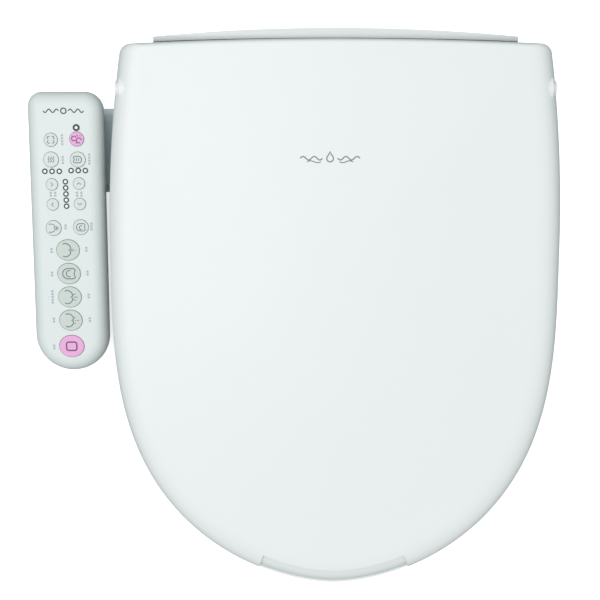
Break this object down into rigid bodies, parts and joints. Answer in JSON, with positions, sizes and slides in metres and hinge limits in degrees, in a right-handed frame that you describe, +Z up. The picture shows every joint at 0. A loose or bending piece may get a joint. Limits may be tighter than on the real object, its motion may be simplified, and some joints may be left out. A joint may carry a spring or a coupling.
{
  "type": "electric bidet seat",
  "caption": "Electric bidet toilet seat with hinged lid and heated seat ring, washing nozzles, warm-air dryer and a sloping side control panel with push buttons.",
  "frame": {"origin": "midway between the two mounting-bolt holes, on the plane of the bowl's rim that the pads and the mounting plate rest on", "axes": "+Z up, +Y towards the rear of the seat, +X towards the side away from the control panel"},
  "size_m": [0.4784, 0.504, 0.1448],
  "materials": {
    "lid_gloss": "gloss",
    "body_gloss": "gloss",
    "panel_matte": "satin",
    "arm_grey": "satin",
    "base_grey": "satin",
    "seat_gloss": "gloss",
    "rubber_grey": "matte",
    "button_pale": "satin",
    "button_beige": "satin",
    "button_pink": "satin",
    "lamp_clear": "gloss",
    "board_green": "satin",
    "black_plastic": "satin",
    "steel": "satin",
    "brass": "satin",
    "nozzle_white": "gloss",
    "unit_plastic": "satin",
    "heater_foil": "satin",
    "tube_clear": "matte",
    "filter_grey": "satin",
    "heat_metal": "satin"
  },
  "bodies": {
    "main_body": {"upper_cover": "body_gloss", "lower_case": "base_grey", "panel_arm": "arm_grey", "base_pads": "rubber_grey", "case_screws": "steel", "seat_damper": "black_plastic", "lid_damper": "black_plastic", "nozzle_housing": "unit_plastic", "wash_nozzle_motor": "steel", "bidet_nozzle_motor": "steel", "heater_tank": "black_plastic", "inlet_fitting": "brass", "inlet_valve": "unit_plastic", "flow_valve": "unit_plastic", "water_tubes": "tube_clear", "fan_housing": "black_plastic", "fan_motor": "steel", "dryer_duct": "heat_metal", "dryer_heater": "heat_metal", "main_board": "board_green", "cord_gland": "rubber_grey", "panel_cover": "panel_matte", "panel_case": "arm_grey", "panel_board": "board_green", "panel_switches": "black_plastic", "panel_lamps": "lamp_clear"},
    "seat": {"seat_top": "seat_gloss", "seat_base": "seat_gloss", "seat_heater": "heater_foil", "seat_bumpers": "rubber_grey", "seat_sensor": "black_plastic", "seat_damper_shaft": "steel"},
    "lid": {"lid": "lid_gloss", "lid_bumpers": "rubber_grey", "lid_damper_shaft": "steel"},
    "mount": {"mounting_plate": "base_grey"},
    "release": {"release_button": "arm_grey"},
    "filter": {"filter_cartridge": "filter_grey"},
    "wash_nozzle": {"wash_nozzle": "nozzle_white"},
    "bidet_nozzle": {"bidet_nozzle": "nozzle_white"},
    "wash_pinion": {"wash_pinion": "unit_plastic"},
    "bidet_pinion": {"bidet_pinion": "unit_plastic"},
    "fan": {"fan_impeller": "unit_plastic"},
    "flap": {"dryer_flap": "base_grey"},
    "power_saving_button": {"power_saving_button": "button_pink"},
    "light_button": {"light_button": "button_pale"},
    "seat_heat_button": {"seat_heat_button": "button_pale"},
    "water_heat_button": {"water_heat_button": "button_pale"},
    "pressure_up_button": {"pressure_up_button": "button_pale"},
    "nozzle_forward_button": {"nozzle_forward_button": "button_pale"},
    "pressure_down_button": {"pressure_down_button": "button_pale"},
    "nozzle_back_button": {"nozzle_back_button": "button_pale"},
    "massage_button": {"massage_button": "button_pale"},
    "move_button": {"move_button": "button_pale"},
    "front_wash_button": {"front_wash_button": "button_beige"},
    "rear_wash_button": {"rear_wash_button": "button_beige"},
    "soft_wash_button": {"soft_wash_button": "button_beige"},
    "dry_button": {"dry_button": "button_beige"},
    "stop_button": {"stop_button": "button_pink"}
  },
  "joints": [
    {"name": "seat_hinge", "type": "hinge", "parent": "main_body", "child": "seat", "pos_m": [0, 0.004, 0.1252], "axis": [1, 0, 0], "range_deg": [-100, 0]},
    {"name": "lid_hinge", "type": "hinge", "parent": "seat", "child": "lid", "pos_m": [0, 0.004, 0.1252], "axis": [-1, 0, 0], "range_deg": [0, 105]},
    {"name": "mount_slide", "type": "slide", "parent": "main_body", "child": "mount", "axis": [0, 1, 0], "range_m": [0, 0.06]},
    {"name": "release_press", "type": "slide", "parent": "main_body", "child": "release", "axis": [-1, 0, 0], "range_m": [0, 0.003], "stiffness_N_per_m": 400},
    {"name": "filter_slide", "type": "slide", "parent": "main_body", "child": "filter", "axis": [1, 0, 0], "range_m": [0, 0.06]},
    {"name": "wash_nozzle_slide", "type": "slide", "parent": "main_body", "child": "wash_nozzle", "axis": [0, -0.866, -0.5], "range_m": [0, 0.068]},
    {"name": "wash_pinion_spin", "type": "hinge", "parent": "main_body", "child": "wash_pinion", "pos_m": [-0.011, -0.03372, 0.04184], "axis": [-1, 0, 0], "range_deg": [0, 629.4]},
    {"name": "bidet_nozzle_slide", "type": "slide", "parent": "main_body", "child": "bidet_nozzle", "axis": [0, -0.866, -0.5], "range_m": [0, 0.068]},
    {"name": "bidet_pinion_spin", "type": "hinge", "parent": "main_body", "child": "bidet_pinion", "pos_m": [0.011, -0.03372, 0.04184], "axis": [-1, 0, 0], "range_deg": [0, 629.4]},
    {"name": "fan_spin", "type": "hinge", "parent": "main_body", "child": "fan", "pos_m": [0.087, -0.015, 0.03], "axis": [0, 0, 1], "continuous": true},
    {"name": "flap_swing", "type": "hinge", "parent": "main_body", "child": "flap", "pos_m": [0.085, -0.079, 0.032], "axis": [-1, 0, 0], "range_deg": [0, 60]},
    {"name": "power_saving_button_press", "type": "slide", "parent": "main_body", "child": "power_saving_button", "axis": [0, 0.1676, -0.9859], "range_m": [0, 0.0008], "stiffness_N_per_m": 500},
    {"name": "light_button_press", "type": "slide", "parent": "main_body", "child": "light_button", "axis": [0, 0.1676, -0.9859], "range_m": [0, 0.0008], "stiffness_N_per_m": 500},
    {"name": "seat_heat_button_press", "type": "slide", "parent": "main_body", "child": "seat_heat_button", "axis": [0, 0.1676, -0.9859], "range_m": [0, 0.0008], "stiffness_N_per_m": 500},
    {"name": "water_heat_button_press", "type": "slide", "parent": "main_body", "child": "water_heat_button", "axis": [0, 0.1676, -0.9859], "range_m": [0, 0.0008], "stiffness_N_per_m": 500},
    {"name": "pressure_up_button_press", "type": "slide", "parent": "main_body", "child": "pressure_up_button", "axis": [0, 0.1676, -0.9859], "range_m": [0, 0.0008], "stiffness_N_per_m": 500},
    {"name": "nozzle_forward_button_press", "type": "slide", "parent": "main_body", "child": "nozzle_forward_button", "axis": [0, 0.1676, -0.9859], "range_m": [0, 0.0008], "stiffness_N_per_m": 500},
    {"name": "pressure_down_button_press", "type": "slide", "parent": "main_body", "child": "pressure_down_button", "axis": [0, 0.1676, -0.9859], "range_m": [0, 0.0008], "stiffness_N_per_m": 500},
    {"name": "nozzle_back_button_press", "type": "slide", "parent": "main_body", "child": "nozzle_back_button", "axis": [0, 0.1676, -0.9859], "range_m": [0, 0.0008], "stiffness_N_per_m": 500},
    {"name": "massage_button_press", "type": "slide", "parent": "main_body", "child": "massage_button", "axis": [0, 0.1676, -0.9859], "range_m": [0, 0.0008], "stiffness_N_per_m": 500},
    {"name": "move_button_press", "type": "slide", "parent": "main_body", "child": "move_button", "axis": [0, 0.1676, -0.9859], "range_m": [0, 0.0008], "stiffness_N_per_m": 500},
    {"name": "front_wash_button_press", "type": "slide", "parent": "main_body", "child": "front_wash_button", "axis": [0, 0.1676, -0.9859], "range_m": [0, 0.0008], "stiffness_N_per_m": 500},
    {"name": "rear_wash_button_press", "type": "slide", "parent": "main_body", "child": "rear_wash_button", "axis": [0, 0.1676, -0.9859], "range_m": [0, 0.0008], "stiffness_N_per_m": 500},
    {"name": "soft_wash_button_press", "type": "slide", "parent": "main_body", "child": "soft_wash_button", "axis": [0, 0.1676, -0.9859], "range_m": [0, 0.0008], "stiffness_N_per_m": 500},
    {"name": "dry_button_press", "type": "slide", "parent": "main_body", "child": "dry_button", "axis": [0, 0.1676, -0.9859], "range_m": [0, 0.0008], "stiffness_N_per_m": 500},
    {"name": "stop_button_press", "type": "slide", "parent": "main_body", "child": "stop_button", "axis": [0, 0.1676, -0.9859], "range_m": [0, 0.0008], "stiffness_N_per_m": 500}
  ],
  "couplings": [
    {"joint": "wash_pinion_spin", "follows": "wash_nozzle_slide", "rad_per_m": 161.29},
    {"joint": "bidet_pinion_spin", "follows": "bidet_nozzle_slide", "rad_per_m": 161.29}
  ]
}
